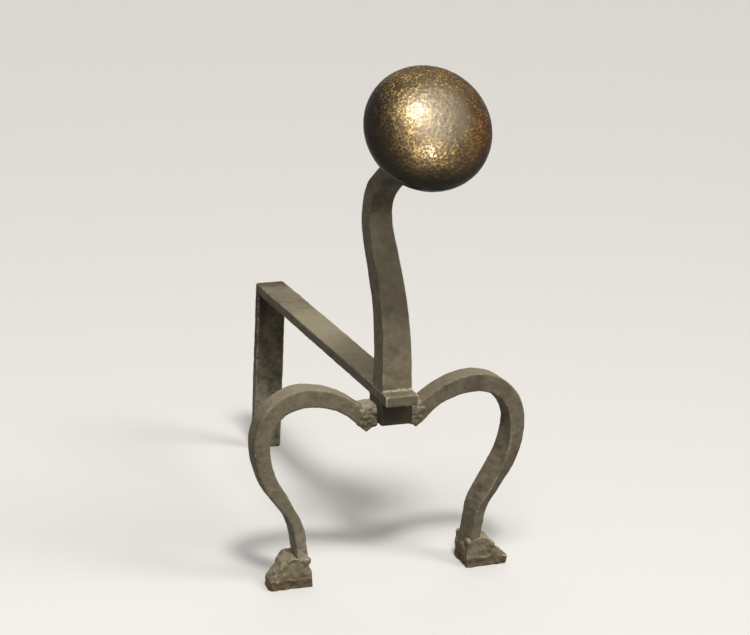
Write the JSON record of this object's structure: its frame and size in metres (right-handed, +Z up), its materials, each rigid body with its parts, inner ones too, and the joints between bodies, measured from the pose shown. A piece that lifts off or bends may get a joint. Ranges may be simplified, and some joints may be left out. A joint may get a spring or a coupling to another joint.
{
  "type": "andiron",
  "caption": "Wrought iron andiron that holds logs off a hearth: flat log bar, bowed legs on forged feet, and a curved stem with a hammered bun-shaped brass knob.",
  "frame": {"origin": "on the hearth floor, under the middle of the andiron's width and of its whole depth", "axes": "+X across the hearth from the left leg to the right leg, +Y back along the log bar into the fire, +Z up"},
  "size_m": [0.2371, 0.4504, 0.4396],
  "materials": {
    "forged_iron": "hammered black iron, dusty grey-brown with worn edges",
    "dark_iron": "smooth, darker forged iron",
    "foot_iron": "rough forged iron with brown rust near the floor",
    "weld_iron": "lumpy weld metal, rust brown",
    "hammered_brass": "hammered antique brass with dark patina in the hollows",
    "plain_brass": "machined, hidden inside the knob",
    "stud_steel": "plain threaded rod, hidden inside the knob"
  },
  "bodies": {
    "root": {"log_bar": "forged_iron", "stem": "forged_iron", "centre_block": "dark_iron", "left_leg": "forged_iron", "right_leg": "forged_iron", "left_foot": "foot_iron", "right_foot": "foot_iron", "knob_back_shell": "hammered_brass", "knob_front_shell": "hammered_brass", "knob_boss": "plain_brass", "knob_stud": "stud_steel", "stem_weld": "weld_iron", "block_weld": "weld_iron", "left_leg_weld": "weld_iron", "right_leg_weld": "weld_iron", "left_foot_weld": "weld_iron", "right_foot_weld": "weld_iron"}
  },
  "joints": []
}
